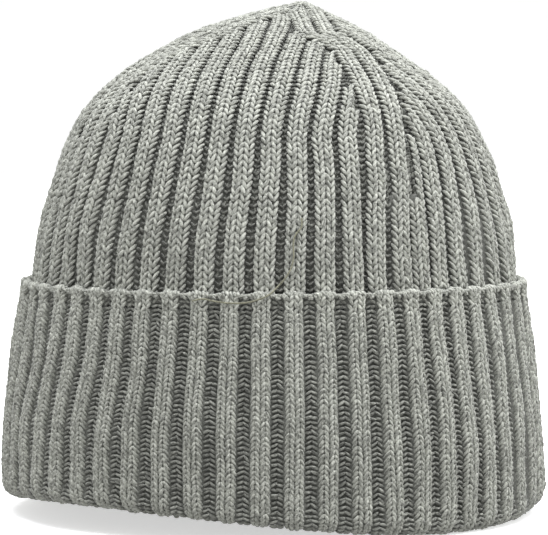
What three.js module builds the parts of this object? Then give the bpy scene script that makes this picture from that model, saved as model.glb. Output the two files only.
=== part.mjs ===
// A cuffed 2x2 rib knit beanie: a shaped knitted tube with a four-gore crown, turned up at the bottom.
// Millimetres, +Z up. The origin is the centre of the bottom, on the plane that the fold rests on.
// The front seam of the crown faces -Y and the closing seam of the tube runs down the back, at +Y.
import * as THREE from "three";

// Driving dimensions.
const PLY = 4.2; // thickness of one layer of the rib fabric
const GAP = 0.3; // room between neighbouring pieces
const FOLD_TOP = 12; // the rounded bottom fold ends here
const BAND_RADIUS = 91.5; // outside of the inner layer, behind the cuff
const CUFF_TOP = 88; // top of the turned-up edge
const WELT_HEIGHT = 5.6; // the tubular start-up edge
const WELT_RADIUS = 96.7; // outside of the start-up edge
const WELT_GAP = 0.6; // room between the start-up edge and the inner layer
const FOLD_TURN = 6.2; // radius of the rounded corners of the fold
const CROWN_START = 121; // the crown seams start here
const SEAM_WIDTH = 1.4; // width of the linking yarn between two edges
const SEAM_RIDGE = 1.4; // the seam allowance stands this proud inside
const SEAM_GROOVE = 1.2; // and lies this deep outside
const TIE_OFF_RADIUS = 5.4;
const TIE_OFF_TOP = 192.6; // the highest point of the hat
const TIE_OFF_DEPTH = 7;
const LEAN = 11; // the peak leans this far out of the centre
const LEAN_ANGLE = 60; // towards this angle, in degrees from the front
const LEAN_REACH = 60; // and the lean fades out at this radius
const THREAD_DIAMETER = 0.6;
const THREAD_LIFT = 0.5; // clear height of the thread over the fabric
const LABEL = { width: 24, height: 38, thickness: 1.1, top: 74, wallGap: 2.4 };
const STITCHING_HEIGHT = 3; // the strip of the label that is sewn down
const AROUND = 48; // steps round the whole tube

// Outside of the inner layer above the cuff, as [radius, height], from the cuff to the peak.
const CROWN_OUTLINE = [
  [92, 88],
  [89.6, 107],
  [85.9, CROWN_START],
  [79.3, 140],
  [71.8, 153],
  [59.7, 164.6],
  [43.2, 175.6],
  [33, 181.4],
  [18.9, 187.2],
  [TIE_OFF_RADIUS + GAP, 191.6],
];

// Outside of the outer layer of the cuff, from the fold up to the start-up edge.
const CUFF_OUTLINE = [
  [103, FOLD_TOP],
  [102.4, 33],
  [99.8, 56],
  [97.1, 77],
  [96.2, CUFF_TOP - WELT_HEIGHT - GAP],
];

// The loose thread's route over the turned-up edge and the crown, as [angle from the front, height].
const THREAD_ROUTE = [
  [-47.5, 84.7],
  [-45.3, 85.5],
  [-42.9, 84.8],
  [-40, 84.2],
  [-36.8, 84.2],
  [-34.5, 84.9],
  [-31.8, 86.7],
  [-30, 89],
  [-28, 92.5],
  [-26.7, 95.9],
  [-26, 100.1],
  [-26, 105],
  [-25.5, 107.8],
  [-24.1, 110.6],
  [-24, 113.7],
];

const rad = (degrees) => (degrees * Math.PI) / 180;
const at = (radius, angle, height) =>
  new THREE.Vector3(radius * Math.sin(angle), -radius * Math.cos(angle), height);

// How far the crown's ring of a radius slides sideways, so that the peak leans.
function leanShift(radius) {
  const fade = Math.max(0, 1 - radius / LEAN_REACH);
  return at(LEAN * fade * fade, rad(LEAN_ANGLE), 0);
}

const onCrown = (radius, angle, height) => at(radius, angle, height).add(leanShift(radius));

// An outline made finer along a smooth curve.
function smooth(outline, steps) {
  const points = outline.map(([radius, height]) => new THREE.Vector3(radius, height, 0));
  const curve = new THREE.CatmullRomCurve3(points, false, "centripetal");
  return curve.getSpacedPoints(steps).map((p) => [p.x, p.y]);
}

// The outline moved inwards, square to itself.
function inwards(outline, distance) {
  return outline.map(([radius, height], i) => {
    const [r0, h0] = outline[Math.max(0, i - 1)];
    const [r1, h1] = outline[Math.min(outline.length - 1, i + 1)];
    const length = Math.hypot(r1 - r0, h1 - h0);
    return [radius - (distance * (h1 - h0)) / length, height + (distance * (r1 - r0)) / length];
  });
}

// An outline kept out of the space of the tie-off.
const clearOfTieOff = (outline) =>
  outline.map(([radius, height]) => [Math.max(radius, TIE_OFF_RADIUS + GAP), height]);

// Joins a row of equal closed loops of points into one closed surface, with flat strips at its two ends.
// Each loop goes up the outside and comes back down the inside.
function skin(loops, closed) {
  const count = loops[0].length;
  const index = [];
  const pairs = closed ? loops.length : loops.length - 1;
  for (let i = 0; i < pairs; i += 1) {
    const here = i * count;
    const next = ((i + 1) % loops.length) * count;
    for (let k = 0; k < count; k += 1) {
      const up = (k + 1) % count;
      index.push(here + k, next + k, next + up, here + k, next + up, here + up);
    }
  }
  if (!closed) {
    const end = (loops.length - 1) * count;
    for (let k = 0; k < count / 2 - 1; k += 1) {
      const a = k;
      const b = k + 1;
      const c = count - 2 - k;
      const d = count - 1 - k;
      index.push(a, b, c, a, c, d);
      index.push(end + a, end + c, end + b, end + a, end + d, end + c);
    }
  }
  const positions = loops.flat().flatMap((p) => [p.x, p.y, p.z]);
  const geometry = new THREE.BufferGeometry();
  geometry.setAttribute("position", new THREE.Float32BufferAttribute(positions, 3));
  geometry.setIndex(index);
  return geometry;
}

// A layer of cloth between an outer and an inner outline, from one angle to another.
// At each end it stops margin millimetres short of the angle, measured along the cloth.
function layer(outer, inner, from, to, margin, steps, place = at) {
  const rows = [...outer, ...[...inner].reverse()];
  const loops = [];
  for (let i = 0; i <= steps; i += 1) {
    loops.push(
      rows.map(([radius, height]) => {
        const start = rad(from) + margin / radius;
        const end = rad(to) - margin / radius;
        return place(radius, start + ((end - start) * i) / steps, height);
      }),
    );
  }
  return skin(loops, false);
}

// A strip of seam yarn of constant width that runs up a layer at one angle.
function seamStrip(outline, angle, depth, ridge, place = at) {
  const outer = clearOfTieOff(inwards(outline, depth));
  const inner = clearOfTieOff(inwards(outline, ridge));
  const rows = [...outer, ...inner.reverse()];
  const loops = [-0.5, 0, 0.5].map((side) =>
    rows.map(([radius, height]) =>
      place(radius, rad(angle) + (side * SEAM_WIDTH) / radius, height),
    ),
  );
  return skin(loops, false);
}

// A ring whose section is a closed outline, listed up the outside and down the inside.
function ring(section) {
  const loops = [];
  for (let i = 0; i < AROUND; i += 1) {
    const angle = (i / AROUND) * 2 * Math.PI;
    loops.push(section.map(([radius, height]) => at(radius, angle, height)));
  }
  return skin(loops, true);
}

// Part of an ellipse as [radius, height] points.
function arc(centre, halfWidth, halfHeight, from, to, steps) {
  const points = [];
  for (let i = 0; i <= steps; i += 1) {
    const angle = rad(from + ((to - from) * i) / steps);
    points.push([
      centre[0] + halfWidth * Math.cos(angle),
      centre[1] + halfHeight * Math.sin(angle),
    ]);
  }
  return points;
}

const seamMargin = SEAM_WIDTH / 2 + GAP;
const crownRows = smooth(CROWN_OUTLINE, 18);
const bandRows = [
  [BAND_RADIUS, FOLD_TOP],
  [BAND_RADIUS, 50],
  ...crownRows.filter(([, height]) => height < CROWN_START - 2),
  [CROWN_OUTLINE[2][0], CROWN_START],
];
const goreRows = [
  [CROWN_OUTLINE[2][0] - 0.15, CROWN_START + GAP],
  ...crownRows.filter(([, height]) => height > CROWN_START + 2),
];
const cuffRows = smooth(CUFF_OUTLINE, 5);

function headBand() {
  return layer(bandRows, inwards(bandRows, PLY), -180, 180, seamMargin, AROUND);
}

function crownGore(from) {
  const inner = clearOfTieOff(inwards(goreRows, PLY));
  return layer(goreRows, inner, from, from + 90, seamMargin, 10, onCrown);
}

function cuffTurnUp() {
  return layer(cuffRows, inwards(cuffRows, PLY), -180, 180, seamMargin, AROUND);
}

// The fold: a trough with rounded shoulders and a flat foot, open at the top between the two layers.
function bottomFold() {
  const top = FOLD_TOP - GAP;
  const outside = CUFF_OUTLINE[0][0];
  const inside = BAND_RADIUS - PLY;
  const trough = (outside - inside) / 2 - PLY;
  const middle = (outside + inside) / 2;
  return ring([
    [inside, top],
    ...arc([inside + FOLD_TURN, FOLD_TURN], FOLD_TURN, FOLD_TURN, 180, 270, 4),
    ...arc([outside - FOLD_TURN, FOLD_TURN], FOLD_TURN, FOLD_TURN, 270, 360, 4),
    [outside, top],
    [middle + trough, top],
    ...arc([middle, PLY + trough], trough, trough, 0, -180, 6),
    [middle - trough, top],
  ]);
}

// The start-up edge is knitted as a tube, so it is thick and round.
function weltEdge() {
  const inner = BAND_RADIUS + WELT_GAP;
  const halfWidth = (WELT_RADIUS - inner) / 2;
  const centre = [inner + halfWidth, CUFF_TOP - WELT_HEIGHT / 2];
  return ring(arc(centre, halfWidth, WELT_HEIGHT / 2, 0, 330, 11));
}

// The yarn knot that draws the four gores together, standing a little proud inside.
function tieOff() {
  const profile = [
    [0, TIE_OFF_TOP - TIE_OFF_DEPTH],
    [TIE_OFF_RADIUS - 2, TIE_OFF_TOP - TIE_OFF_DEPTH + 0.6],
    [TIE_OFF_RADIUS - 1, TIE_OFF_TOP - 4.6],
    [TIE_OFF_RADIUS, TIE_OFF_TOP - 2.6],
    [TIE_OFF_RADIUS - 1.6, TIE_OFF_TOP - 0.6],
    [0, TIE_OFF_TOP],
  ].map(([radius, height]) => new THREE.Vector2(radius, height));
  const geometry = new THREE.LatheGeometry(profile, 16);
  geometry.rotateX(Math.PI / 2);
  const shift = leanShift(TIE_OFF_RADIUS + GAP);
  geometry.translate(shift.x, shift.y, 0);
  return geometry;
}

// A folded woven label, hung from its upper edge on the inside of the back.
function careLabel() {
  const geometry = new THREE.BoxGeometry(LABEL.width, LABEL.thickness, LABEL.height, 4, 1, 4);
  const radius = BAND_RADIUS - PLY - SEAM_RIDGE - LABEL.wallGap;
  geometry.translate(0, radius, LABEL.top - LABEL.height / 2);
  return geometry;
}

// The folded-in top of the label, stitched to the seam allowance.
function labelStitching() {
  const front = BAND_RADIUS - PLY - SEAM_RIDGE - LABEL.wallGap - LABEL.thickness / 2;
  const back = BAND_RADIUS - PLY - SEAM_RIDGE - GAP;
  const geometry = new THREE.BoxGeometry(LABEL.width, back - front, STITCHING_HEIGHT, 4, 1, 1);
  geometry.translate(0, (front + back) / 2, LABEL.top + GAP + STITCHING_HEIGHT / 2);
  return geometry;
}

// The radius of the outside of the hat at a height, cuff included.
function outsideRadius(height) {
  const cuff = [...CUFF_OUTLINE, [WELT_RADIUS, CUFF_TOP]];
  const crown = [[BAND_RADIUS + 1.9, CUFF_TOP], ...CROWN_OUTLINE.slice(1)];
  const outline = height < CUFF_TOP ? cuff : crown;
  const above = outline.findIndex(([, h]) => h >= height);
  const [r1, h1] = outline[Math.max(1, above)];
  const [r0, h0] = outline[Math.max(1, above) - 1];
  return r0 + ((r1 - r0) * (height - h0)) / (h1 - h0);
}

function looseThread() {
  const lift = THREAD_DIAMETER / 2 + THREAD_LIFT;
  const points = THREAD_ROUTE.map(([angle, height]) =>
    at(outsideRadius(height) + lift, rad(angle), height),
  );
  const route = new THREE.CatmullRomCurve3(points, false, "centripetal");
  const section = new THREE.Shape();
  section.absarc(0, 0, THREAD_DIAMETER / 2, 0, 2 * Math.PI);
  return new THREE.ExtrudeGeometry(section, { steps: 40, curveSegments: 4, extrudePath: route });
}

const YARN = { color: 0x85877f, roughness: 0.95, metalness: 0 };
const SEAM_YARN = { color: 0x6e7069, roughness: 0.95, metalness: 0 };
const LABEL_CLOTH = { color: 0xe4e2da, roughness: 0.7, metalness: 0 };
const THREAD = { color: 0x6f7258, roughness: 0.8, metalness: 0 };

const group = new THREE.Group();

function add(name, geometry, look) {
  geometry.deleteAttribute("normal");
  geometry.deleteAttribute("uv");
  geometry.computeVertexNormals();
  const mesh = new THREE.Mesh(geometry, new THREE.MeshStandardMaterial(look));
  mesh.name = name;
  group.add(mesh);
}

add("head_band", headBand(), YARN);
add("cuff_turn_up", cuffTurnUp(), YARN);
add("bottom_fold", bottomFold(), YARN);
add("cuff_welt_edge", weltEdge(), YARN);

const GORES = { front_right: 0, back_right: 90, back_left: 180, front_left: 270 };
for (const [name, from] of Object.entries(GORES)) {
  add(`crown_gore_${name}`, crownGore(from), YARN);
}

const SEAMS = { front: 0, right: 90, back: 180, left: 270 };
for (const [name, angle] of Object.entries(SEAMS)) {
  const strip = seamStrip(goreRows, angle, SEAM_GROOVE, PLY + SEAM_RIDGE, onCrown);
  add(`crown_seam_${name}`, strip, SEAM_YARN);
}

add("back_seam_band", seamStrip(bandRows, 180, SEAM_GROOVE, PLY + SEAM_RIDGE), SEAM_YARN);
add("back_seam_cuff", seamStrip(cuffRows, 180, 0.4, PLY), SEAM_YARN);
add("crown_tie_off", tieOff(), SEAM_YARN);
add("care_label", careLabel(), LABEL_CLOTH);
add("label_stitching", labelStitching(), SEAM_YARN);
add("loose_thread", looseThread(), THREAD);

export default group;
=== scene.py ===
"""A cuffed 2x2 rib knit beanie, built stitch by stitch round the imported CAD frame. Metres, +Z up."""

import math

import bpy
import numpy as np
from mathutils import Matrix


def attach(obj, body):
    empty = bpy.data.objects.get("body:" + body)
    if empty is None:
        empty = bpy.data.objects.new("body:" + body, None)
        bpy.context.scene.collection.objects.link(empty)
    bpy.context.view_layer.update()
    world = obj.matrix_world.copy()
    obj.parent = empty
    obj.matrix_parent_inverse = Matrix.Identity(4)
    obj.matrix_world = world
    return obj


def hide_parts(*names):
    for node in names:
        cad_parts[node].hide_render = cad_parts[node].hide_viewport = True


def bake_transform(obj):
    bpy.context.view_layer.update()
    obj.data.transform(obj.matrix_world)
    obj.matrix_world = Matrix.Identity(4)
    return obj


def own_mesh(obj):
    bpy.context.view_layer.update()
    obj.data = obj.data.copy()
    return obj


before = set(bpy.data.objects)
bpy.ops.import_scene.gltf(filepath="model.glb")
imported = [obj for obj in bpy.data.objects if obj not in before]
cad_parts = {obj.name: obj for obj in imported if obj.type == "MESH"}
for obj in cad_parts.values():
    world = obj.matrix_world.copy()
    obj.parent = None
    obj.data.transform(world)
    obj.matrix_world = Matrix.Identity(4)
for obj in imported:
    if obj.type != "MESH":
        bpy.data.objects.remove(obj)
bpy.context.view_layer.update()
RANDOM = np.random.default_rng(20)

# Sizes are in millimetres, as in the CAD source, and become metres when a mesh is made.
MM = 0.001
RIBS = 52  # ribs round the hat
GORE_RIBS = RIBS // 4
PLY = 4.2  # thickness of one layer of fabric
FOLD_TOP = 12.0
BAND_RADIUS = 91.5
CROWN_START = 121.0
CUFF_TOP = 88.0
LEAN = 11.0  # how far the peak leans out of the centre
LEAN_ANGLE = math.radians(60)
LEAN_REACH = 60.0
LIFT = 4.7  # half of the most that the soft fold is lifted off the floor
LIFT_TOP = 82.0  # the lift has faded out at this height
LOW_SIDE = math.radians(30.3)  # the fold lies flat an eighth of a turn from here

CROWN_OUTLINE = [
    (92, 88), (89.6, 107), (85.9, CROWN_START), (79.3, 140), (71.8, 153),
    (59.7, 164.6), (43.2, 175.6), (33, 181.4), (18.9, 187.2), (5.7, 191.6),
]
CUFF_OUTLINE = [(103, FOLD_TOP), (102.4, 33), (99.8, 56), (97.1, 77), (96.2, 82.1)]
THREAD_ROUTE = [  # angle in degrees and height
    (-47.5, 84.7), (-45.3, 85.5), (-42.9, 84.8), (-40, 84.2), (-36.8, 84.2), (-34.5, 84.9),
    (-31.8, 86.7), (-30, 89), (-28, 92.5), (-26.7, 95.9), (-26, 100.1), (-26, 105),
    (-25.5, 107.8), (-24.1, 110.6), (-24, 113.7),
]
THREAD_DIAMETER = 0.6
THREAD_CLEAR = 0.6  # it lies this far above the plain outside
INSIDE_FULL = 1.4  # the soft inside of the ribs stands this much proud of the plain layer


# ---- curves and profiles

def unit(v):
    """Directions of length 1."""
    return v / np.linalg.norm(v, axis=-1, keepdims=True)


def turns(count):
    """Angles spread evenly round a full turn."""
    return np.arange(count) * 2 * math.pi / count


def between(a, b, t, low, high):
    """The point that lies from a at low to b at high."""
    return a + (b - a) * (t - low) / (high - low)


def smooth(points, per_span=24):
    """A centripetal Catmull-Rom curve through points of any dimension."""
    p = np.asarray(points, float)
    p = np.vstack([2 * p[0] - p[1], p, 2 * p[-1] - p[-2]])
    rows = []
    for i in range(1, len(p) - 2):
        p0, p1, p2, p3 = p[i - 1:i + 3]
        t1 = np.linalg.norm(p1 - p0) ** 0.5
        t2 = t1 + np.linalg.norm(p2 - p1) ** 0.5
        t3 = t2 + np.linalg.norm(p3 - p2) ** 0.5
        last = i == len(p) - 3
        t = np.linspace(t1, t2, per_span, endpoint=last)[:, None]
        middle = between(p1, p2, t, t1, t2)
        first = between(between(p0, p1, t, 0, t1), middle, t, 0, t2)
        second = between(middle, between(p2, p3, t, t2, t3), t, t1, t3)
        rows.append(between(first, second, t, t1, t2))
    return np.vstack(rows)


class Profile:
    """A section of the hat: radius, height and direction out of the cloth along its length."""

    def __init__(self, points, flip=False):
        p = np.asarray(points, float)
        step = np.hypot(*np.diff(p, axis=0).T)
        p = p[np.r_[True, step > 1e-6]]
        raw = np.r_[0, np.cumsum(np.hypot(*np.diff(p, axis=0).T))]
        self.length = raw[-1]
        self.s = np.linspace(0, self.length, 900)
        self.r = np.interp(self.s, raw, p[:, 0])
        self.z = np.interp(self.s, raw, p[:, 1])
        tangent = np.gradient(np.c_[self.r, self.z], self.s, axis=0)
        kernel = np.ones(9) / 9
        padded = np.pad(tangent, ((4, 4), (0, 0)), mode="edge")
        tangent = unit(np.stack([np.convolve(c, kernel, "valid") for c in padded.T], axis=1))
        sign = -1 if flip else 1
        self.nr = sign * tangent[:, 1]
        self.nz = -sign * tangent[:, 0]

    def radius(self, s):
        """Radius at a distance along the section."""
        return np.interp(s, self.s, self.r)

    def height(self, s):
        """Height at a distance along the section."""
        return np.interp(s, self.s, self.z)

    def at_height(self, z):
        """The distance where a section that only rises reaches a height."""
        return np.interp(z, self.z, self.s)

    def point(self, s, h):
        """Radius and height of a point h out of the cloth."""
        r = self.radius(s) + h * np.interp(s, self.s, self.nr)
        z = self.height(s) + h * np.interp(s, self.s, self.nz)
        return r, z


def arc(centre_r, centre_z, radius, start, end, steps=24):
    """Part of a circle as radius and height pairs."""
    t = np.radians(np.linspace(start, end, steps))
    return np.c_[centre_r + radius * np.cos(t), centre_z + radius * np.sin(t)]


def fade(value, low, high):
    """0 below low, 1 above high, and smooth between."""
    t = np.clip((value - low) / (high - low), 0, 1)
    return t * t * (3 - 2 * t)


INNER = Profile(
    np.vstack([[(BAND_RADIUS, 0), (BAND_RADIUS, 50)], smooth(CROWN_OUTLINE), [(0, 193.2)]])
)
FOLD_TURN = 6.2
FOLD_IN = BAND_RADIUS - PLY
CUFF = Profile(
    np.vstack([
        smooth(CUFF_OUTLINE[::-1]),
        arc(CUFF_OUTLINE[0][0] - FOLD_TURN, FOLD_TURN, FOLD_TURN, 0, -90),
        arc(FOLD_IN + FOLD_TURN, FOLD_TURN, FOLD_TURN, -90, -180),
        [(FOLD_IN, 14)],
    ]),
    flip=True,
)
WELT = Profile(
    np.vstack([[(96.2, 81.0)], arc(94.0, 86.3, 2.2, 0, 180, 40), [(91.8, 81.0)]]),
)
CROWN_S = float(INNER.at_height(CROWN_START))
POLE_S = INNER.length


def wave(angle, height):
    """How far the soft fold is lifted off the floor, fading out up the cuff."""
    lift = LIFT * (1 - np.sin(2 * (angle + LOW_SIDE)))
    return lift * np.clip(1 - height / LIFT_TOP, 0, 1)


def swell(angle, height):
    """Shallow unevenness of the cloth, in millimetres along the radius."""
    big = 0.45 * np.sin(3 * angle + height / 31 + 0.7) + 0.35 * np.sin(5 * angle - height / 23 + 2.1)
    small = 0.22 * np.sin(13 * angle + height / 9 + 1.3) + 0.18 * np.sin(23 * angle - height / 7)
    return (big + small) * np.clip((193 - height) / 60, 0, 1)


def fold_depth(s):
    """Share of the grooves' depth left on the turned-up layer: little where it is folded."""
    return 0.22 + 0.78 * fade(CUFF.height(s), 1.0, 9.0)


def points(x, y, z):
    """Points from coordinates that are arrays or single values."""
    return np.stack(np.broadcast_arrays(x, y, z), axis=-1)


def to_xyz(radius, angle, height):
    """Points from radius, angle (0 at the front) and height."""
    return points(radius * np.sin(angle), -radius * np.cos(angle), height)


def pressed_in(height):
    """How far the inner layer gives way behind the cuff, for its edge when lowered."""
    return 1.0 * fade(height, 14, 30) * (1 - fade(height, 50, 78))


def place_inner(angle, s, h):
    """A point of the inner layer, h above its outside."""
    radius, height = INNER.point(s, h)
    radius = radius + swell(angle, height) - pressed_in(height)
    lean = LEAN * np.clip(1 - INNER.radius(s) / LEAN_REACH, 0, 1) ** 2
    upright = to_xyz(radius, angle, height + wave(angle, height))
    return upright + to_xyz(lean, LEAN_ANGLE, 0)


def place_inside(angle, s, h):
    """A point of the inner layer, h above its inside, towards the head."""
    return place_inner(angle, s, -PLY - INSIDE_FULL - h)


def place_cuff(angle, s, h):
    """A point of the turned-up layer and the fold, h above its outside. s runs downwards."""
    radius, height = CUFF.point(s, h + INSIDE_FULL * fade(s, CUFF.length - 12, CUFF.length - 2))
    radius = radius + swell(angle, height)
    return to_xyz(radius, angle, height + wave(angle, height))


def place_welt(angle, s, h):
    """A point of the start-up edge, h above its outside."""
    radius, height = WELT.point(s, h)
    return to_xyz(radius + swell(angle, height), angle, height)


# ---- ribs

RIB_PITCH = 10.4
LEAST_PITCH = 9.45  # in the gores the ribs keep this distance and end one by one at the seams

# How far each crown seam strays from its straight line, as (radius, degrees).
SEAM_STRAY = [
    [
        (0, -2), (14, -2.2), (30, -4.9), (34.8, -4.5), (38.4, 4.6),
        (45, 9.1), (55, 7), (64, 5), (77, 1.8), (82, 0),
    ],
    [(0, 0), (20, -3), (32, 4), (42, 6), (55, 1), (68, -2), (80, 0)],
    [(0, 0), (18, 5), (30, -3), (44, -4), (60, 2), (75, 1), (82, 0)],
    [(0, 12), (30.5, 12.9), (38, 9.5), (44, 0.6), (51.7, -6.6), (63, -4.9), (73, -2.1), (82, 0)],
]


def hump(angle, centre, width):
    """1 at an angle in degrees, and less to either side of it."""
    d = (np.degrees(angle) + 180) % 360 - 180
    return np.exp(-(((d - centre) / width) ** 2))


def slip(angle, height):
    """How unevenly the ribs of the inner layer stand round the hat, as an angle."""
    low = 1 - fade(height, 95, 140)
    return np.radians(-3.3 * hump(angle, 24, 20) - low * (1.3 + 1.5 * hump(angle, 25, 25)))


def cuff_slip(angle, height):
    """The same for the turned-up layer."""
    left = 2.2 * hump(angle, -92, 35) * fade(height, 30, 65)
    return np.radians(1.5 - 2.8 * hump(angle, 29, 22) + left)


def inner_pitch(s):
    """Distance between ribs of the inner layer: a share of the girth, then nearly constant."""
    radius = INNER.radius(s)
    floor = LEAST_PITCH * (1 - 0.1 * fade(-radius, -68, -36))
    return np.maximum(2 * math.pi * radius / RIBS, floor)


def seam_angle(seam, s):
    """Angle of a crown seam, 0 for the front one, at a distance along the cloth."""
    radius = INNER.radius(s)
    straight = seam * math.pi / 2
    stray = np.zeros_like(s)
    for i, points in enumerate(SEAM_STRAY):
        r, turn = np.array(points, float).T
        stray = np.where(np.round(seam) % 4 == i, np.interp(radius, r, turn), stray)
    above = fade(s, CROWN_S - 8, CROWN_S + 12)
    return straight + np.radians(stray) + slip(straight, INNER.height(s)) * (1 - above)


def stay_behind(centre, radius):
    """How far a gore's ribs stay beside the leaning peak, instead of leaning with it."""
    return 11.4 * np.clip((45 - radius) / 35, 0, 1) ** 2 * np.sin(LEAN_ANGLE - centre)


def rib_angle(gore, u, s):
    """Angle of the line that is u ribs from a gore's centre line."""
    radius = np.maximum(INNER.radius(s), 0.5)
    centre = (gore + 0.5) * math.pi / 2
    plain = centre + u * 2 * math.pi / RIBS
    straight_to = LEAST_PITCH * RIBS / (2 * math.pi)
    uneven = slip(plain, INNER.height(s)) * np.maximum(1, straight_to / np.maximum(radius, 20))
    return centre + (u * inner_pitch(s) - stay_behind(centre, radius)) / radius + uneven


def seams_away(gore, angle, s):
    """Distance from a line to the nearer seam of a gore, counted in ribs."""
    away = np.minimum(angle - seam_angle(gore, s), seam_angle(gore + 1, s) - angle)
    return away * INNER.radius(s) / inner_pitch(s)


def gore_width(gore, s):
    """Width of a gore, counted in ribs."""
    span = seam_angle(gore + 1, s) - seam_angle(gore, s)
    return span * INNER.radius(s) / inner_pitch(s)


def narrowing(gore, s, more=0.0):
    """Below 1 where a gore is narrower than the two ribs that follow its seams."""
    return np.minimum(1, gore_width(gore, s) / 2 + more)


def inner_angle(gore, edge, u, s):
    """Angle of an inside rib of a gore, or of its edge rib (u = 0.5) or seam (u = 0) on one side."""
    radius = np.maximum(INNER.radius(s), 0.5)
    aside = edge * u * narrowing(gore, s) * inner_pitch(s) / radius
    beside = seam_angle(gore + (edge > 0), s) - aside
    return np.where(edge == 0, rib_angle(gore, u, s), beside)


RIB_HALF = 3.5  # half the width of a rib's rounded face


def relief(x, half=RIB_HALF, drop=2.0):
    """How far a rib's rounded face lies below its crest, x from its centre line."""
    return -drop * np.clip(np.abs(x) / half, 0, 1.2) ** 3


def wobble(angle, s, phase=0.0):
    """Small sideways and lengthways unevenness of the rows, between -1 and 1."""
    a = np.sin(9 * angle + s / 11 + phase) + 0.7 * np.sin(17 * angle - s / 6.3 + 2 * phase)
    return (a + 0.6 * np.sin(29 * angle + s / 4.1 + 3 * phase)) / 2.3


# ---- meshes

RINGS = np.array([-0.8, -0.28, 0.28, 0.8])
RING_SIZE = np.array([0.68, 0.98, 0.98, 0.68])
SIDES = 6


def add_object(name, data):
    """Puts a new object in the scene."""
    made = bpy.data.objects.new(name, data)
    bpy.context.scene.collection.objects.link(made)
    return made


def new_mesh(name, verts, faces3, faces4):
    """A smooth mesh from arrays of points, triangles and quads."""
    mesh = bpy.data.meshes.new(name)
    mesh.vertices.add(len(verts))
    mesh.vertices.foreach_set("co", verts.astype(np.float32).ravel())
    loops = np.concatenate([faces4.ravel(), faces3.ravel()]).astype(np.int32)
    sizes = np.repeat([4, 3], [len(faces4), len(faces3)])
    starts = (np.cumsum(sizes) - sizes).astype(np.int32)
    mesh.loops.add(len(loops))
    mesh.loops.foreach_set("vertex_index", loops)
    mesh.polygons.add(len(sizes))
    mesh.polygons.foreach_set("loop_start", starts)
    mesh.polygons.foreach_set("use_smooth", np.ones(len(sizes), bool))
    mesh.update(calc_edges=True)
    return mesh


def table(*axes):
    """Every combination of the values, with an axis for each."""
    return np.meshgrid(*axes, indexing="ij")


def patch(numbers):
    """Quads between the rows and columns of a table of point numbers."""
    corners = [numbers[:-1, :-1], numbers[:-1, 1:], numbers[1:, 1:], numbers[1:, :-1]]
    return np.stack(corners, axis=-1).reshape(-1, 4)


def tube_faces(rings, sides):
    """Triangles and quads of a tube, whose points are its rings, its first tip and its last."""
    ring = np.arange(rings * sides).reshape(rings, sides)
    ring = np.c_[ring, ring[:, :1]]
    tip = np.full(sides, rings * sides)
    first = np.c_[tip, ring[0, 1:], ring[0, :-1]]
    last = np.c_[tip + 1, ring[-1, :-1], ring[-1, 1:]]
    return np.concatenate([first, last]), patch(ring)


STRAND_U = [0.18, 0.4, 0.6, 0.82]  # where the rings of a strand lie in its square of the texture
UV_MARGIN = 0.06


def strand_uv(count):
    """Texture places that give every strand its own small square."""
    places = np.stack(table(STRAND_U, np.arange(SIDES + 1) / SIDES), axis=-1)
    quads = places.reshape(-1, 2)[patch(np.arange(places[..., 0].size).reshape(places.shape[:2]))]
    middle = (np.arange(SIDES) + 0.5) / SIDES
    first = np.stack([np.c_[0 * middle, middle], places[0, 1:], places[0, :-1]], axis=1)
    last = np.stack([np.c_[0 * middle + 1, middle], places[-1, :-1], places[-1, 1:]], axis=1)
    cells = max(64, math.ceil(math.sqrt(count)))
    corner = np.c_[np.arange(count) % cells, np.arange(count) // cells] / cells
    start = corner[:, None, None, :] + UV_MARGIN / cells
    fit = (1 - 2 * UV_MARGIN) / cells
    faces = (quads, np.concatenate([first, last]))
    return np.concatenate([(start + face[None] * fit).reshape(-1, 2) for face in faces])


def strand_mesh(name, bundles):
    """One object of many short strands of yarn.

    Each bundle holds, for n strands, the points of their centre lines (n, 6, 3) in millimetres, the
    directions out of the cloth (n, 3), half widths, half thicknesses and tones (n).
    """
    line, out, wide, thick, tone = (np.concatenate(column) for column in zip(*bundles))
    n, rings = len(line), len(RINGS)
    along = unit(line[:, 2:] - line[:, :-2])
    side = unit(np.cross(along, out[:, None, :]))
    up = np.cross(side, along)
    turn = turns(SIDES)
    size = RING_SIZE[None, :, None, None]
    body = line[:, 1:-1, None, :] + size * (
        side[:, :, None, :] * (np.cos(turn)[:, None] * wide[:, None, None, None])
        + up[:, :, None, :] * (np.sin(turn)[:, None] * thick[:, None, None, None])
    )
    per = rings * SIDES + 2
    verts = np.empty((n, per, 3))
    verts[:, :-2] = body.reshape(n, rings * SIDES, 3)
    verts[:, -2] = line[:, 0]
    verts[:, -1] = line[:, -1]
    base = (np.arange(n) * per)[:, None, None]
    faces = [(base + f).reshape(-1, f.shape[1]) for f in tube_faces(rings, SIDES)]
    mesh = new_mesh(name, verts.reshape(-1, 3) * MM, *faces)
    shade = mesh.attributes.new("tone", "FLOAT", "POINT")
    shade.data.foreach_set("value", np.repeat(tone, per).astype(np.float32))
    layer = mesh.uv_layers.new(name="OFBake")
    layer.data.foreach_set("uv", strand_uv(n).astype(np.float32).ravel())
    return add_object(name, mesh)


TIPS = np.r_[-1.05, RINGS, 1.05]


def column(values):
    """Values for n strands, or one for all, to go with the points along each."""
    return np.reshape(values, (-1, 1))


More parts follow.
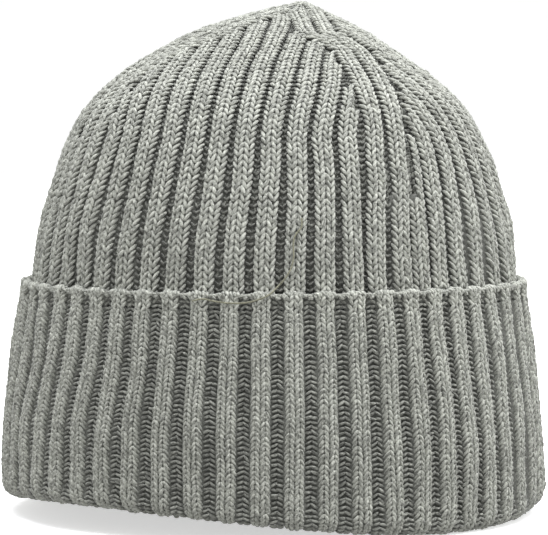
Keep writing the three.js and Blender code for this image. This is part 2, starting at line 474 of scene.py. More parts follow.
def stitch_lines(place, angle_at, s, x, across, length, h, dip, tilt=0.0, roll=relief):
    """Centre lines of strands on a rib, and their directions out of the cloth.

    angle_at gives the rib's line at a distance s along the cloth. A strand's middle lies x across the
    rib, its ends across to either side of that, and length is half its length along the rib. It
    follows the rib's face, roll, at a height h, and dips at its ends.
    """
    v = TIPS
    s_v = column(s) + column(length) * v
    x_v = column(x) + column(across) * v
    angle, radius, scale = angle_at(s_v)
    h_v = column(h) + roll(x_v) - dip * v * v - tilt * v
    angle_v = angle + x_v * scale / radius
    line = place(angle_v, s_v, h_v)
    middle = angle_v[:, 2]
    return line, unit(place(middle, s, h + 1) - place(middle, s, h - 1))


def flat(x_v):
    """No rounding across a rib."""
    return 0 * x_v


def spread(n, size):
    """Random values round 0, for n strands."""
    return size * RANDOM.standard_normal(n)


def jitter(n, share):
    """Random factors round 1, for n strands."""
    return 1 + share * RANDOM.standard_normal(n).clip(-2, 2)


def tones(n, centre=1.0, share=0.065):
    """How light each of n strands is."""
    return centre * jitter(n, share)


LEG_X = 0.80  # a leg's middle lies this far from the centre line of its wale
LEG_ACROSS = 0.68  # and its ends lie this far to either side of that
LEG_LENGTH = 0.70  # half its length, as a share of the row height
WALE_X = 1.62  # the two wales of a rib lie this far from the rib's centre line
LEG_WIDE = 0.69
LEG_THICK = 0.76
PURL_SIZE = 0.52


def make_legs(place, angle_at, s, wale, leg, course, grow, plump=1.0, steep=1.0):
    """Knit stitches. wale and leg are -1 or 1, and course is the height of a row.

    grow is the size of the yarn, plump the width of the ribs and steep how much the legs lean.
    """
    n = len(s)
    full = np.ones(n) * plump

    def roll(x_v):
        return relief(x_v, RIB_HALF * full[:, None])

    x = full * (wale * WALE_X + leg * LEG_X * jitter(n, 0.06))
    across = steep * full * leg * LEG_ACROSS * jitter(n, 0.10)
    length = LEG_LENGTH * course * jitter(n, 0.07)
    h = -LEG_THICK + spread(n, 0.12)
    line, out = stitch_lines(place, angle_at, s, x, across, length, h, dip=0.42, tilt=0.30, roll=roll)
    wide = LEG_WIDE * grow * (0.5 + 0.5 * full) * jitter(n, 0.07)
    thick = LEG_THICK * grow * jitter(n, 0.07)
    return line, out, wide, thick, tones(n)


def make_purls(place, angle_at, s, side, course, depth, reach, rise, tone=0.66):
    """The sunk rows between ribs: two crosswise strands to a course, which meet in a low arch.

    reach is how far the arch spans to either side, rise is its height, and tone darkens the yarn as
    painted shade of the grooves.
    """
    n = len(s)
    x = side * 0.5 * reach * jitter(n, 0.08)
    across = 0.62 * reach * jitter(n, 0.1)
    length = 0.5 * side * rise * (1 + spread(n, 0.45))
    h = spread(n, 0.15) - depth
    line, out = stitch_lines(place, angle_at, s, x, across, length, h, dip=0.4, roll=flat)
    return line, out, PURL_SIZE * jitter(n, 0.1), PURL_SIZE * jitter(n, 0.1), tones(n, tone, 0.14)


def rows_between(start, end, course):
    """Distances of the rows along the cloth. course gives a row's height at a distance."""
    rows = [start]
    while rows[-1] + course(rows[-1]) < end:
        rows.append(rows[-1] + float(course(rows[-1])))
    return np.array(rows)


def grid(*axes):
    """Every combination of the values, as flat arrays."""
    return [a.ravel() for a in table(*axes)]


def keep(chosen, *columns):
    """The chosen rows of several arrays."""
    return [column[chosen] for column in columns]


def inner_plump(s):
    """How much fuller the ribs of the inner layer are than those of the cuff."""
    return 1.12 + 0.32 * fade(s, CROWN_S - 20, CROWN_S + 70)


def inner_course(s):
    """Height of a row of the inner layer."""
    return 2.37 - 0.40 * fade(s, CROWN_S + 30, POLE_S - 30)


def inner_line(gore, edge, u):
    """The course of a rib or seam of the inner layer, as in inner_angle."""
    edge, u = column(edge), column(u)

    def angle_at(s):
        angle = inner_angle(gore, edge, u, s)
        radius = np.maximum(INNER.radius(s), 1.0)
        scale = inner_pitch(s) / RIB_PITCH * np.where(edge == 0, 1, narrowing(gore, s))
        return angle + 0.22 * wobble(angle, s, 1.0) / radius, radius, scale
    return angle_at


WALE_ENDS = 1.18  # a wale of the crown ends this near to the seam, counted in ribs
INSIDE_ENDS = 0.6  # the same on the inside, where the ribs are the grooves of the outside
GROOVE_ENDS = 0.82  # and for the grooves on both sides
PURL_DEPTH = 3.2  # the sunk rows lie this far below the crest of the ribs
INSIDE_PURL_DEPTH = 1.2
BOTH = np.array([-1.0, 1.0])
LAST_RIB = GORE_RIBS // 2
RIB_LINES = np.arange(1 - LAST_RIB, LAST_RIB, dtype=float)
GROOVE_LINES = np.arange(0.5 - LAST_RIB, LAST_RIB)


def inner_legs(place, gore, rows, inside):
    """The knit stitches of the ribs, and outside those of the two ribs beside the seams."""
    s, u, wale, leg = grid(rows, GROOVE_LINES if inside else RIB_LINES, BOTH, BOTH)
    free = INSIDE_ENDS if inside else WALE_ENDS
    alive = (seams_away(gore, rib_angle(gore, u + 0.2 * wale, s), s) > free) | (s < CROWN_S)
    groups = [keep(alive, s, u, wale, leg, 0 * u)]
    if not inside:
        s, edge, wale, leg = grid(rows, BOTH, BOTH, BOTH)
        groups.append(keep(gore_width(gore, s) > 0.9, s, 0 * edge + 0.5, wale, leg, edge))
    s, u, wale, leg, edge = (np.concatenate(column) for column in zip(*groups))
    s = s + 0.35 * wobble(inner_angle(gore, edge, u, s), s)
    grow = inner_pitch(s) / RIB_PITCH * np.where(edge == 0, 1, narrowing(gore, s, 0.1))
    course = 1.13 * inner_course(s)
    path = inner_line(gore, edge, u)
    return make_legs(place, path, s, wale, leg, course, grow, inner_plump(s), 0.97)


def inner_purls(place, gore, rows, inside, depth):
    """The sunk rows between the ribs."""
    s, u, lane = grid(rows, RIB_LINES if inside else GROOVE_LINES, BOTH)
    alive = (seams_away(gore, rib_angle(gore, u, s), s) > GROOVE_ENDS) | (s < CROWN_S)
    s, u, lane = keep(alive, s, u, lane)
    return make_purls(
        place, inner_line(gore, 0, u), s, lane, inner_course(s), depth, 1.4, 1.2, groove_painted_shade(s)
    )


def seam_purls(place, gore, rows, inside, depth):
    """The sunk rows at the seams, and outside those beyond the ribs beside them."""
    s, edge, away, lane = grid(rows, BOTH, np.array([0.0, 1.0, 1.3]), BOTH)
    width = gore_width(gore, s)
    alive = (width > 1.2) & ((away == 0) | (s > CROWN_S) & (width > 2 * away + 1))
    if not inside:
        alive = alive & ((away > 0) | (edge < 0))
    s, edge, away, lane = keep(alive, s, edge, away, lane)
    path = inner_line(gore, edge, away + 0.42 * (away == 0) * inside)
    return make_purls(place, path, s, lane, inner_course(s), depth, 1.3, 1.2, groove_painted_shade(s))


def groove_painted_shade(s):
    """Darkens the yarn in the grooves as painted shade, and more so higher up."""
    return 0.54 - 0.10 * fade(s, CROWN_S, CROWN_S + 70)


def inner_knit(gore, start, end, inside=False):
    """All stitches of a quarter of the inner layer on one face, from start to end.

    The inside has its ribs where the outside has its grooves.
    """
    place = place_inside if inside else place_inner
    depth = INSIDE_PURL_DEPTH if inside else PURL_DEPTH
    rows = rows_between(start, end, inner_course)
    return [
        inner_legs(place, gore, rows, inside),
        inner_purls(place, gore, rows, inside, depth),
        seam_purls(place, gore, rows, inside, depth),
    ]


def chain(place, angle_at, s, x, h, size, length=1.6):
    """A seam's yarn as a chain of long strands that lean left and right in turn."""
    n = len(s)
    turn = np.where(np.arange(n) % 2 == 0, 1.0, -1.0)
    line, out = stitch_lines(place, angle_at, s, x, 0.4 * turn, length, h, dip=0.25, roll=flat)
    wide = size * jitter(n, 0.08)
    return line, out, wide, 0.9 * wide, tones(n)


# ---- materials

def set_up(made, **values):
    """Sets a node's input sockets and properties by name."""
    for key, value in values.items():
        if key in made.inputs:
            made.inputs[key].default_value = value
        else:
            setattr(made, key, value)
    return made


def shader(name, roughness, sheen=0.0):
    """A new node material with its main shader."""
    material = bpy.data.materials.new(name)
    material.use_nodes = True
    tree = material.node_tree
    main = set_up(tree.nodes["Principled BSDF"], Roughness=roughness)
    main.inputs["Specular IOR Level"].default_value = 0.25
    main.inputs["Sheen Weight"].default_value = sheen
    return material, tree, main


def node(tree, kind, vector=None, **values):
    """Adds a node, with the source of its vector, other inputs and properties."""
    made = tree.nodes.new(kind)
    if vector:
        tree.links.new(vector, made.inputs["Vector"])
    return set_up(made, **values)


def ramp(tree, source, stops):
    """A colour ramp fed by a socket, from pairs of a position and a grey or colour."""
    made = tree.nodes.new("ShaderNodeValToRGB")
    elements = made.color_ramp.elements
    while len(elements) < len(stops):
        elements.new(0.5)
    for element, (position, colour) in zip(elements, stops):
        element.position = position
        element.color = (*np.broadcast_to(colour, 3), 1)
    tree.links.new(source, made.inputs["Fac"])
    return made.outputs["Color"]


def multiply(tree, a, b):
    """Colour a times colour b."""
    mix = node(tree, "ShaderNodeMix", data_type="RGBA", blend_type="MULTIPLY", Factor=1.0)
    tree.links.new(a, mix.inputs["A"])
    tree.links.new(b, mix.inputs["B"])
    return mix.outputs["Result"]


def tinted(value, tint=(0.995, 1.015, 0.90)):
    """A grey with the yarn's slight green cast."""
    return tuple(value * t for t in tint)


def surface_place(tree):
    """The place on the object, for patterns."""
    return node(tree, "ShaderNodeTexCoord").outputs["Object"]


def noise(tree, scale, detail, roughness=0.5, vector=None):
    """A noise pattern over the object, or over another vector."""
    vector = vector or surface_place(tree)
    made = node(tree, "ShaderNodeTexNoise", vector, Scale=scale, Detail=detail, Roughness=roughness)
    return made.outputs["Fac"]


def mottle(tree, colour, scale, detail, stops):
    """A colour darkened here and there by a noise pattern."""
    return multiply(tree, colour, ramp(tree, noise(tree, scale, detail), stops))


def surface(tree, main, colour, height, strength, distance):
    """Gives a surface its colour, and a pattern that stands out of it."""
    bump = node(tree, "ShaderNodeBump", Strength=strength, Distance=distance)
    tree.links.new(height, bump.inputs["Height"])
    tree.links.new(bump.outputs["Normal"], main.inputs["Normal"])
    tree.links.new(colour, main.inputs["Base Color"])


def yarn_material(name, level):
    """Soft melange yarn: fibres along each strand, specks and a fine bump."""
    material, tree, main = shader(name, 0.92, 0.22)
    uv = node(tree, "ShaderNodeUVMap", uv_map="OFBake")
    stretch = node(tree, "ShaderNodeMapping", uv.outputs["UV"], Scale=(140, 260, 1))
    fibre = noise(tree, 1.0, 2.0, 0.6, stretch.outputs["Vector"])
    streaks = [(0.32, tinted(level * 0.42)), (0.5, tinted(level)), (0.68, tinted(level * 1.22))]
    colour = ramp(tree, fibre, streaks)
    colour = mottle(tree, colour, 1500.0, 1.0, [(0.3, 0.5), (0.47, 0.97), (0.66, 1.0)])
    colour = mottle(tree, colour, 70.0, 2.0, [(0.3, 0.9), (0.7, 1.0)])
    tone = node(tree, "ShaderNodeAttribute", attribute_name="tone")
    surface(tree, main, multiply(tree, colour, tone.outputs["Color"]), fibre, 0.65, 0.0005)
    return material


def ground_material(name, level):
    """The fabric under the stitches, which shows only between them: kept dark as painted shade."""
    material, tree, main = shader(name, 0.95, 0.2)
    fine = noise(tree, 900.0, 3.0, 0.6)
    shades = [(0.3, tinted(level * 0.6)), (0.5, tinted(level)), (0.7, tinted(level * 1.4))]
    surface(tree, main, ramp(tree, fine, shades), fine, 0.7, 0.0005)
    return material


def label_material():
    """Off-white woven satin without any print."""
    material, tree, main = shader("label_satin", 0.55, 0.3)
    bands = node(tree, "ShaderNodeTexWave", surface_place(tree), Scale=900.0, Distortion=0.4)
    weft = set_up(bands, bands_direction="Z", wave_type="BANDS").outputs["Fac"]
    satin = ramp(tree, weft, [(0.0, (0.62, 0.61, 0.57)), (1.0, (0.8, 0.79, 0.75))])
    satin = mottle(tree, satin, 300.0, 3.0, [(0.3, 0.88), (0.7, 1.0)])
    surface(tree, main, satin, weft, 0.3, 0.0002)
    return material


def thread_material():
    """Thin twisted olive thread."""
    material, tree, main = shader("olive_thread", 0.75, 0.3)
    ply = noise(tree, 1800.0, 2.0)
    colour = ramp(tree, ply, [(0.3, (0.10, 0.10, 0.065)), (0.7, (0.24, 0.235, 0.165))])
    surface(tree, main, colour, ply, 0.5, 0.0002)
    return material


WHITE = (1, 1, 1, 1)
BLACK = (0, 0, 0, 1)


def floor_material():
    """Pale paper that is lit more evenly the further it lies from the hat."""
    material, tree, main = shader("studio_floor", 0.8)
    grain = ramp(tree, noise(tree, 40.0, 3.0), [(0.3, 0.86), (0.7, 0.88)])
    tree.links.new(grain, main.inputs["Base Color"])
    main.inputs["Emission Color"].default_value = WHITE
    shrink = node(tree, "ShaderNodeMapping", surface_place(tree), Scale=(1.4, 1.4, 1.4))
    near = node(tree, "ShaderNodeTexGradient", shrink.outputs["Vector"], gradient_type="SPHERICAL")
    glow = ramp(tree, near.outputs["Fac"], [(0.0, 1.0), (0.85, 0.55)])
    tree.links.new(glow, main.inputs["Emission Strength"])
    return material


def backdrop_material():
    """Evenly lit white paper."""
    material, _, main = shader("studio_backdrop", 1.0)
    main.inputs["Base Color"].default_value = BLACK
    main.inputs["Emission Color"].default_value = WHITE
    main.inputs["Emission Strength"].default_value = 1.0
    return material


YARN_LEVEL = 0.38
YARN = yarn_material("rib_yarn", YARN_LEVEL)
# The same yarn made lighter on the start-up edge: painted light on its rounded top.
WELT_YARN_PAINTED_LIGHT = yarn_material("welt_yarn_painted_light", YARN_LEVEL * 1.12)
SEAM_YARN = yarn_material("seam_yarn", YARN_LEVEL * 0.8)
# The ground at 0.3 of the yarn's level is painted shade between the stitches.
GROUND_PAINTED_SHADE = ground_material("fabric_back_painted_shade", YARN_LEVEL * 0.3)
LABEL_CLOTH = label_material()
OLIVE = thread_material()


def finish_piece(obj, material, slot, *nodes):
    """Gives a piece its material and hides the CAD nodes it stands for; slot is not used."""
    obj.data.materials.clear()
    obj.data.materials.append(material)
    if nodes:
        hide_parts(*nodes)
    return obj


# ---- camera and light

CAMERA_AZIMUTH = math.radians(-30.3)
CAMERA_DISTANCE = 1.240
CAMERA_HEIGHT = 0.1546
CAMERA_PITCH = math.radians(2.9)
CAMERA_LENS = 215.06


def make_camera():
    """A long lens in front, to the left."""
    data = bpy.data.cameras.new("camera")
    data.lens = CAMERA_LENS
    data.sensor_width = 36
    camera = add_object("camera", data)
    camera.location = to_xyz(CAMERA_DISTANCE, CAMERA_AZIMUTH, CAMERA_HEIGHT)
    camera.rotation_euler = (math.pi / 2 - CAMERA_PITCH, 0, CAMERA_AZIMUTH)
    bpy.context.scene.camera = camera


LIT_HEIGHT = 0.1  # the lights point at this height in the hat
SKY_LIGHT = 0.62
FLOOR_REACH = 6
DRUM_RADIUS = 5.8
DRUM_TOP = 6.0


def make_light(name, azimuth, elevation, distance, size, power, colour=(1, 1, 1)):
    """A soft square light that points at the middle of the hat."""
    data = bpy.data.lights.new(name, "AREA")
    data.size = size
    data.energy = power
    data.color = colour
    light = add_object(name, data)
    a, e = math.radians(azimuth), math.radians(elevation)
    light.location = to_xyz(distance * math.cos(e), a, distance * math.sin(e) + LIT_HEIGHT)
    light.rotation_euler = (math.pi / 2 - e, 0, a)


def make_backdrop():
    """A wide white drum and lid round the floor, which sheds no light."""
    count = 64
    ring = DRUM_RADIUS * np.c_[np.cos(turns(count)), np.sin(turns(count))]
    verts = [(x, y, z) for z in (-0.01, DRUM_TOP) for x, y in ring]
    faces = [(i, (i + 1) % count, (i + 1) % count + count, i + count) for i in range(count)]
    faces.append(tuple(range(count, 2 * count)))
    mesh = bpy.data.meshes.new("backdrop")
    mesh.from_pydata(verts, [], faces)
    mesh.materials.append(backdrop_material())
    drum = add_object("backdrop", mesh)
    for rays in ("diffuse", "glossy", "transmission", "shadow"):
        setattr(drum, f"visible_{rays}", False)


def make_floor():
    """The plain floor, a square whose half side is FLOOR_REACH metres."""
    a = FLOOR_REACH
    mesh = bpy.data.meshes.new("floor")
    mesh.from_pydata([(-a, -a, 0), (a, -a, 0), (a, a, 0), (-a, a, 0)], [], [(0, 1, 2, 3)])
    mesh.materials.append(floor_material())
    floor = add_object("floor", mesh)
    floor.visible_diffuse = False


def make_studio():
    """The camera, the soft lights and the stage."""
    make_camera()
    bpy.context.scene.view_settings.view_transform = "Standard"
    world = bpy.data.worlds.new("studio")
    bpy.context.scene.world = world
    world.use_nodes = True
    set_up(world.node_tree.nodes["Background"], Color=WHITE, Strength=SKY_LIGHT)
    make_light("key", 5, 80, 1.2, 1.7, 44, (0.955, 0.965, 1.0))
    make_light("side", 40, 12, 1.4, 0.6, 5.3)
    make_light("fill", -65, 1, 1.4, 0.6, 2.9)
    make_floor()
    make_backdrop()


make_studio()


# ---- the loose thread

def outside_radius(height):
    """Radius of the outside of the hat at a height, cuff included."""
    cuff = [*CUFF_OUTLINE, (96.7, CUFF_TOP)]
    crown = [(BAND_RADIUS + 1.9, CUFF_TOP), *CROWN_OUTLINE[1:]]
    r, z = np.array(cuff if height < CUFF_TOP else crown).T
    return float(np.interp(height, z, r))


def tube(name, path, radius, sides=8):
    """A round tube along a path in metres, closed at both ends with a point."""
    path = np.asarray(path)
    along = unit(np.gradient(path, axis=0))
    side = unit(np.cross(along, unit(path * [1, 1, 0])))
    up = np.cross(side, along)
    turn = turns(sides)
    rings = path[:, None] + radius * (
        side[:, None] * np.cos(turn)[:, None] + up[:, None] * np.sin(turn)[:, None]
    )
    verts = np.vstack([rings.reshape(-1, 3), path[0], path[-1]])
    return add_object(name, new_mesh(name, verts, *tube_faces(len(path), sides)))


def make_thread():
    """The thin thread over the edge of the cuff, whose two ends go into the knit."""
    lift = THREAD_DIAMETER / 2 + THREAD_CLEAR
    route = np.array([
        to_xyz(outside_radius(z) + lift, math.radians(a), z) for a, z in THREAD_ROUTE
    ])
    path = smooth(route, 6) * MM
    thread = tube("loose_olive_thread", path, THREAD_DIAMETER / 2 * MM)
    finish_piece(thread, OLIVE, "loose_thread", "loose_thread")
    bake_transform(thread)


make_thread()


# ---- the fabric under the stitches

def rib_shape(t, pitch, crest, groove):
    """Height of a ribbed face, t ribs from the centre of a rib."""
    x = np.abs(t) * pitch
    return crest + (groove - crest) * fade(x, 0.20 * pitch, 0.36 * pitch)


def shell(name, outer, inner, wrap):
    """A closed layer of cloth from two grids of points (rows, columns, 3) in millimetres."""
    points = np.stack([outer, inner])
    a, b = np.arange(points[..., 0].size).reshape(points.shape[:3])
    if wrap:
        a, b = np.c_[a, a[:, :1]], np.c_[b, b[:, :1]]
    rims = [(b[0], a[0]), (a[-1], b[-1])]
    if not wrap:
        rims += [(a[:, 0], b[:, 0]), (b[:, -1], a[:, -1])]
    quads = [patch(a), patch(b)[:, [0, 3, 2, 1]], *(patch(np.stack(rim)) for rim in rims)]
    mesh = new_mesh(name, points.reshape(-1, 3) * MM, np.empty((0, 3), int), np.concatenate(quads))
    return add_object(name, mesh)


UNDER = 1.25  # the ground lies this far below the crest of the ribs
SUNK = 3.85  # and this far at the bottom of the grooves
GROUND_BACK = 4.15  # its back lies this far below the crest
STEPS_PER_RIB = 8


def cloth(name, place, angle, s, front, back, wrap=True):
    """A closed layer of cloth between two heights above the plain outside."""
    return shell(name, place(angle, s, front + 0 * s), place(angle, s, back + 0 * s), wrap)


def round_grid(s, shift):
    """Rows of points round the hat, and how many ribs each lies from a rib's centre line."""
    s, angle = table(s, turns(RIBS * STEPS_PER_RIB))
    return s, angle, (angle * RIBS / (2 * math.pi) + shift) % 1 - 0.5


def band_ground():
    """The straight part of the inner layer."""
    s, angle, t = round_grid(np.linspace(5, CROWN_S + 1.0, 70), 0.0)
    angle = angle + slip(angle, INNER.height(s))
    front = rib_shape(t, RIB_PITCH, -UNDER, -SUNK)
    return cloth("band_ground", place_inner, angle, s, front, -GROUND_BACK)


def rib_of(gore, angle, s):
    """How many ribs a point lies from a gore's centre line: rib_angle turned round."""
    ribs = np.arange(-9.0, 9.5, 0.5)
    found = np.empty_like(angle)
    for i in range(len(s)):
        lines = rib_angle(gore, ribs, np.full_like(ribs, s[i, 0]))
        found[i] = np.interp(angle[i], lines, ribs)
    return found


def gore_ground(gore, name):
    """One quarter of the crown, whose ribs end one by one at its seams."""
    shares = np.linspace(0, 1, GORE_RIBS * STEPS_PER_RIB + 1)
    s, q = table(np.linspace(CROWN_S - 1.0, POLE_S - 4.0, 96), shares)
    first, last = seam_angle(gore, s), seam_angle(gore + 1, s)
    angle = first + (last - first) * q
    to_seam = seams_away(gore, angle, s)
    u = rib_of(gore, angle, s)
    rib = np.round(u).clip(1 - LAST_RIB, LAST_RIB - 1)
    ended = seams_away(gore, rib_angle(gore, rib, s), s) < WALE_ENDS + 0.2
    inside_rib = np.where(ended, 0.5, np.minimum(np.abs(u - rib), 0.5))
    t = np.where(to_seam < 0.86, to_seam - 0.5 * narrowing(gore, s), inside_rib)
    front = rib_shape(t, inner_pitch(s), -UNDER, -SUNK)
    return cloth(name, place_inner, angle, s, front, -GROUND_BACK, wrap=False)


def cuff_ground():
    """The turned-up layer and the fold."""
    s, angle, t = round_grid(np.linspace(0.3, CUFF.length - 2, 90), 0.5)
    angle = angle + cuff_slip(angle, CUFF.height(s))
    groove = -UNDER - (SUNK - UNDER) * fold_depth(s)
    outside = rib_shape(t, RIB_PITCH, -UNDER, groove)
    return cloth("cuff_ground", place_cuff, angle, s, 0.1 - PLY, outside)


def welt_ground():
    """The rounded start-up edge, whose grooves end below its top."""
    s, angle, t = round_grid(np.linspace(1.0, WELT.length - 2.5, 40), 0.5)
    angle = angle + cuff_slip(angle, WELT.height(s))
    groove = -3.4 + 2.2 * fade(s, 4.6, 6.6)
    front = rib_shape(t, RIB_PITCH, -1.2, groove)
    return cloth("welt_ground", place_welt, angle, s, front, -3.6 + 1.9 * fade(s, 4.6, 6.6))


def ride_fold(obj):
    """The cuff rides on the fold body, with a mesh of its own."""
    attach(obj, "fold")
    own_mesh(obj)


def blend_band(obj):
    """The inner layer stays with the hat, its placing baked into its mesh."""
    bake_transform(obj)


# ---- the knit

GORES = ["front_right", "back_right", "back_left", "front_left"]
BAND_FROM = 34.0  # the band's stitches start at this height, where the lowered cuff can show them
INSIDE_FROM = 13.0  # and those on its inside at this one
CUFF_PITCH = 11.4


def cuff_course(s):
    """Height of a row of the turned-up layer."""
    return 1.85 + 0.25 * fade(s, 60, 90)


def line_up(rib, profile, s):
    """Angle of a rib of the turned-up layer or its edge, at a distance along it."""
    angle = column(rib) * 2 * math.pi / RIBS + 0 * s
    return angle + cuff_slip(angle, profile.height(s))


def cuff_line(rib):
    """The course of a rib of the turned-up layer, for stitch_lines."""
    def angle_at(s):
        angle = line_up(rib, CUFF, s)
        radius = CUFF.radius(s)
        scale = 2 * math.pi * radius / RIBS / CUFF_PITCH
        return angle + 0.3 * wobble(angle, s, 2.0) / radius, radius, scale
    return angle_at


def cuff_knit(gore, start, end):
    """All stitches of a quarter of the turned-up layer, from start to end."""
    rows = rows_between(start, end, cuff_course)
    rib = np.arange(gore * GORE_RIBS, (gore + 1) * GORE_RIBS, dtype=float)
    s, k, wale, leg = grid(rows, rib, BOTH, BOTH)
    s = s + 0.3 * wobble(k * 2 * math.pi / RIBS, s, 0.5)
    legs = make_legs(place_cuff, cuff_line(k), s, wale, leg, cuff_course(s) * 1.2, 1.0)
    s, k, lane = grid(rows, rib + 0.5, BOTH)
    depth = 0.2 + 2.6 * fold_depth(s)
    # The sunk rows take the darker default tone of make_purls: painted shade of the grooves.
    purls = make_purls(place_cuff, cuff_line(k), s, lane, cuff_course(s), depth, 2.1, 1.3)
    return [legs, purls]


def welt_line(rib):
    """The course of a rib up the start-up edge, for stitch_lines."""
    def angle_at(s):
        return line_up(rib, WELT, s), WELT.radius(s), np.ones_like(s)
    return angle_at


def low_relief(x_v):
    """The start-up edge is rounded less across its ribs."""
    return relief(x_v, 4.0, 1.0)


def lean_strands(rib, x, middle, across, length, size, h=-0.62, tone=1.0):
    """Strands on the start-up edge that lean to one side."""
    n = len(rib)
    line, out = stitch_lines(
        place_welt, welt_line(rib), middle + np.zeros(n), x, across * jitter(n, 0.15),
        length * jitter(n, 0.1), h + spread(n, 0.1), dip=0.35, roll=low_relief,
    )
    wide = size * jitter(n, 0.1)
    return line, out, wide, 0.95 * wide, tones(n, tone)


def welt_strands():
    """The start-up edge: ribs run up into it, and strands cross each groove to the left."""
    k = np.arange(RIBS, dtype=float)
    s, rib, wale, leg = grid(np.arange(1.4, 5.2, 1.86), k, BOTH, BOTH)
    s = s + spread(len(s), 0.25)
    legs = make_legs(place_welt, welt_line(rib), s, wale, -leg, 2.2, 1.04)
    s, rib, lane = grid(np.arange(1.4, 5.2, 1.86), k + 0.5, BOTH)
    # The sunk rows take the darker default tone of make_purls: painted shade of the grooves.
    purls = make_purls(place_welt, welt_line(rib), s, lane, 1.86, 2.7, 2.1, -1.3)
    rib, x = grid(k, np.array([-3.1, -1.9, -0.6, 0.7, 1.9, 3.1]))
    x = x + spread(len(x), 0.15)
    top = lean_strands(rib, x, 6.9, -0.55, 1.9, 0.70)
    rib, x = grid(k, np.arange(-5.0, 5.6, 1.3))
    height = -0.62 - 0.6 * fade(np.abs(x), 2.6, 4.6)
    middle = 10.0 + spread(len(x), 0.3)
    over = lean_strands(rib, x, middle, -0.4, 2.2, 0.66, height, 0.93)
    # The hooks and rising strands that cross the grooves are darker: painted shade.
    rib, x = grid(k + 0.5, np.array([-1.9, -0.8, 0.3, 1.4, 2.4]))
    middle = 6.75 + 0.12 * x + spread(len(x), 0.22)
    hooks = lean_strands(rib, x, middle, -1.15, 1.0, 0.56, -1.5 + 0.08 * x * x, 0.84)
    rise = lean_strands(k + 0.5, 2.4, 4.9, -0.9, 1.5, 0.58, -1.1, 0.9)
    return [legs, purls, top, over, hooks, rise]


def yarn_piece(name, bundles, move, material=YARN, slot="rib_knit", nodes=()):
    """Makes a piece of many strands and lets it move with the hat."""
    part = strand_mesh(name, bundles)
    finish_piece(part, material, slot, *nodes)
    move(part)
    return part


def seam_piece(name, bundles, move, cad_node, material=SEAM_YARN):
    """The same for yarn that joins or closes the knit."""
    return yarn_piece(name, bundles, move, material, "seam_yarn", [cad_node])


def on(body):
    """A way to move: riding on one body."""
    return lambda part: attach(part, body)


def both_faces(area, gore, outside, inside, move):
    """The stitches of a quarter on both faces, each over a span of distances."""
    name = GORES[gore]
    return [
        yarn_piece(f"{area}_knit_{name}", inner_knit(gore, *outside), move),
        yarn_piece(f"{area}_inside_{name}", inner_knit(gore, *inside, inside=True), move),
    ]


def make_band():
    """The straight part of the inner layer, with stitches on both faces."""
    outside = (float(INNER.at_height(BAND_FROM)), CROWN_S)
    inside = (float(INNER.at_height(INSIDE_FROM)), CROWN_S)
    stitches = []
    for gore in range(4):
        stitches += both_faces("band", gore, outside, inside, blend_band)
    ground = finish_piece(band_ground(), GROUND_PAINTED_SHADE, "rib_knit", "head_band")
    blend_band(ground)


def make_crown():
    """The four quarters of the crown, with stitches on both faces."""
    start = CROWN_S + 0.4
    for gore, name in enumerate(GORES):
        ground = gore_ground(gore, f"crown_ground_{name}")
        finish_piece(ground, GROUND_PAINTED_SHADE, "rib_knit", f"crown_gore_{name}")
        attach(ground, "hat_body")
        stitches = both_faces("crown", gore, (start, POLE_S - 3.0), (start, POLE_S - 8.0), on("hat_body"))


def make_cuff():
    """The turned-up layer, the fold and the start-up edge."""
    ground = finish_piece(cuff_ground(), GROUND_PAINTED_SHADE, "rib_knit", "cuff_turn_up", "bottom_fold")
    ride_fold(ground)
    turn_start = float(np.interp(-FOLD_TOP, -CUFF.z[:700], CUFF.s[:700]))
    for i, name in enumerate(GORES):
        upright = cuff_knit(i, 0.9, turn_start)
        turned = cuff_knit(i, turn_start, CUFF.length - 1.2)
        yarn_piece(f"cuff_knit_{name}", upright, ride_fold)
        yarn_piece(f"fold_knit_{name}", turned, ride_fold)
    ring = finish_piece(welt_ground(), GROUND_PAINTED_SHADE, "rib_knit", "cuff_welt_edge")
    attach(ring, "cuff_edge")
    yarn_piece("welt_knit", welt_strands(), on("cuff_edge"), WELT_YARN_PAINTED_LIGHT)


SEAMS = ["front", "right", "back", "left"]
SEAM_STEP = 2.1


def seam_chains(seam, s, ridge, depth, size):
    """Linking yarn in a seam's groove at distances s, and its ridge inside."""
    path = inner_line(seam, -1, 0)
    return [
        chain(place_inner, path, s, 0.0, -depth, size),
        chain(place_inside, path, ridge, -0.75, 0.75, 0.7),
        chain(place_inside, path, ridge + 1.0, 0.75, 0.75, 0.7),
    ]


def make_seams():
    """The four seams of the crown and the seam at the centre back."""
    for seam, name in enumerate(SEAMS):
        s = np.arange(CROWN_S, POLE_S - 6, SEAM_STEP)
        ridge = np.arange(CROWN_S, POLE_S - 8, SEAM_STEP)
        chains = seam_chains(seam, s, ridge, 3.5, 0.36)
        seam_piece(f"crown_seam_yarn_{name}", chains, on("hat_body"), f"crown_seam_{name}")
    s = np.arange(14, CROWN_S, SEAM_STEP)
    chains = seam_chains(SEAMS.index("back"), s, s, 3.0, 0.42)
    seam_piece("back_seam_band_yarn", chains, blend_band, "back_seam_band")
    s = np.arange(1, CUFF.length - 16, 1.9)
    chains = [chain(place_cuff, cuff_line(RIBS / 2), s, 0.0, -0.35, 0.5)]
    seam_piece("back_seam_cuff_yarn", chains, ride_fold, "back_seam_cuff")


GOLDEN_TURN = 2.399  # spreads stitches evenly over a round patch


def straight_strands(middle, reach, dip, out, wide, thick):
    """Straight strands, to reach on either side of middle, whose ends dip away from out."""
    v = TIPS[:, None]
    n = len(middle)
    line = middle[:, None] + reach[:, None] * v - dip * v * v * np.array(out)
    return line, np.tile(out, (n, 1)), np.full(n, wide), np.full(n, thick), tones(n)


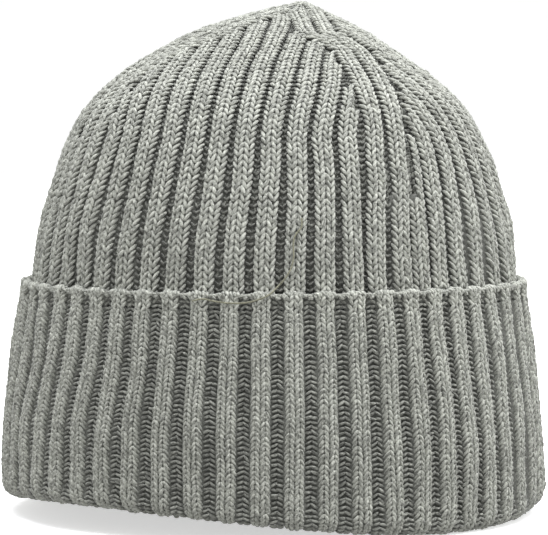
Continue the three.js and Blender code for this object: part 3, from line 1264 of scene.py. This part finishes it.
def knot_strands(count=26):
    """The knot at the peak: short strands that wind outwards."""
    i = np.arange(count)
    turn = i * GOLDEN_TURN
    reach = 0.9 + 3.1 * (i / count) ** 0.8
    height = 192.1 - 0.10 * reach ** 2
    middle = to_xyz(LEAN * 0.93, LEAN_ANGLE, 0.0) + to_xyz(reach, turn, height)
    along = points(np.cos(turn + 0.5), np.sin(turn + 0.5), -0.1)
    half = 1.5 + 0.25 * reach
    return straight_strands(middle, along * half[:, None], 0.5, (0.0, 0.0, 1.0), 0.75, 0.7)


def drawn_strands():
    """The last stitches round the peak, drawn together under the knot."""
    rings = np.arange(POLE_S - 17, POLE_S - 3, 1.9)
    counts = np.round(2 * math.pi * INNER.radius(rings) / 1.8).astype(int)
    s = np.repeat(rings, counts)
    around = np.concatenate([turns(count) for count in counts]) + s

    def straight(s_v):
        return around[:, None] + 0 * s_v, np.maximum(INNER.radius(s_v), 1.0), np.ones_like(s_v)

    n = len(s)
    line, out = stitch_lines(
        place_inner, straight, s, 0, spread(n, 0.3), 1.5 * jitter(n, 0.1), -2.3 + spread(n, 0.15),
        dip=0.3, roll=flat,
    )
    return line, out, 0.7 * jitter(n, 0.1), 0.6 * jitter(n, 0.1), tones(n, 0.8)


def make_tie_off():
    """The end of the yarn, drawn through the last stitches and knotted."""
    bundles = [knot_strands(), drawn_strands()]
    seam_piece("crown_tie_off_yarn", bundles, on("hat_body"), "crown_tie_off", YARN)


LABEL_WIDTH = 24.0
LABEL_HEIGHT = 38.0
LABEL_TOP = 74.0
LABEL_Y = 83.5
TAB_FRONT = 83.25
TAB_BACK = 85.4
LABEL_STITCHES = 14


def make_label():
    """A folded blank label: a strip of satin that hangs down and turns back up."""
    half_gap, thick = 0.36, 0.11
    t = np.linspace(0, 1, 41)
    down = LABEL_TOP - 0.1 - t * (LABEL_HEIGHT - 0.7)
    bend = np.radians(np.linspace(0, 180, 9)[1:-1])
    low = down[-1]
    y = np.r_[np.full(41, -half_gap), -half_gap * np.cos(bend), np.full(41, half_gap)]
    z = np.r_[down, low - 0.45 * np.sin(bend), down[::-1]]
    x = np.linspace(-LABEL_WIDTH / 2, LABEL_WIDTH / 2, 17)
    zz, xx = table(z, x)
    yy = y[:, None]
    hang = (LABEL_TOP - zz) / LABEL_HEIGHT
    bow = 0.10 * hang * np.cos(xx / 5.5) + 0.06 * np.sin(zz / 4 + xx / 7) * hang
    tangent = unit(np.gradient(np.c_[y, z], axis=0))
    ny, nz = thick * tangent[:, 1:], -thick * tangent[:, :1]
    outer = points(xx, LABEL_Y + yy + bow + ny, zz + nz)
    inner = points(xx, LABEL_Y + yy + bow - ny, zz - nz)
    label = shell("care_label_satin", inner, outer, False)
    finish_piece(label, LABEL_CLOTH, "label_cloth", "care_label")
    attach(label, "label")


def make_label_stitching():
    """The label's folded-in top edge, sewn to the seam ridge with short stitches."""
    x = np.linspace(-LABEL_WIDTH / 2, LABEL_WIDTH / 2, 25)
    z = np.linspace(LABEL_TOP + 0.3, LABEL_TOP + 3.2, 7)
    zz, xx = table(z, x)
    puff = 0.22 * np.cos((zz - LABEL_TOP - 1.75) / 2.9 * math.pi) + 0.05 * np.sin(xx * 1.9)
    tab = shell("label_tab", points(xx, TAB_FRONT - puff, zz), points(xx, TAB_BACK, zz), False)
    finish_piece(tab, LABEL_CLOTH, "label_cloth")
    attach(tab, "hat_body")
    count = LABEL_STITCHES
    along = np.linspace(-LABEL_WIDTH / 2 + 1.2, LABEL_WIDTH / 2 - 1.2, count)
    middle = points(along, TAB_FRONT - 0.3, LABEL_TOP + 1.7)
    lean = points(0.62, 0.0, np.where(np.arange(count) % 2, 0.5, -0.5))
    bundles = [straight_strands(middle, lean, 0.22, (0.0, -1.0, 0.0), 0.17, 0.17)]
    seam_piece("label_stitches", bundles, on("hat_body"), "label_stitching")


make_band()
make_crown()
make_cuff()
make_seams()
make_tie_off()
make_label()
make_label_stitching()
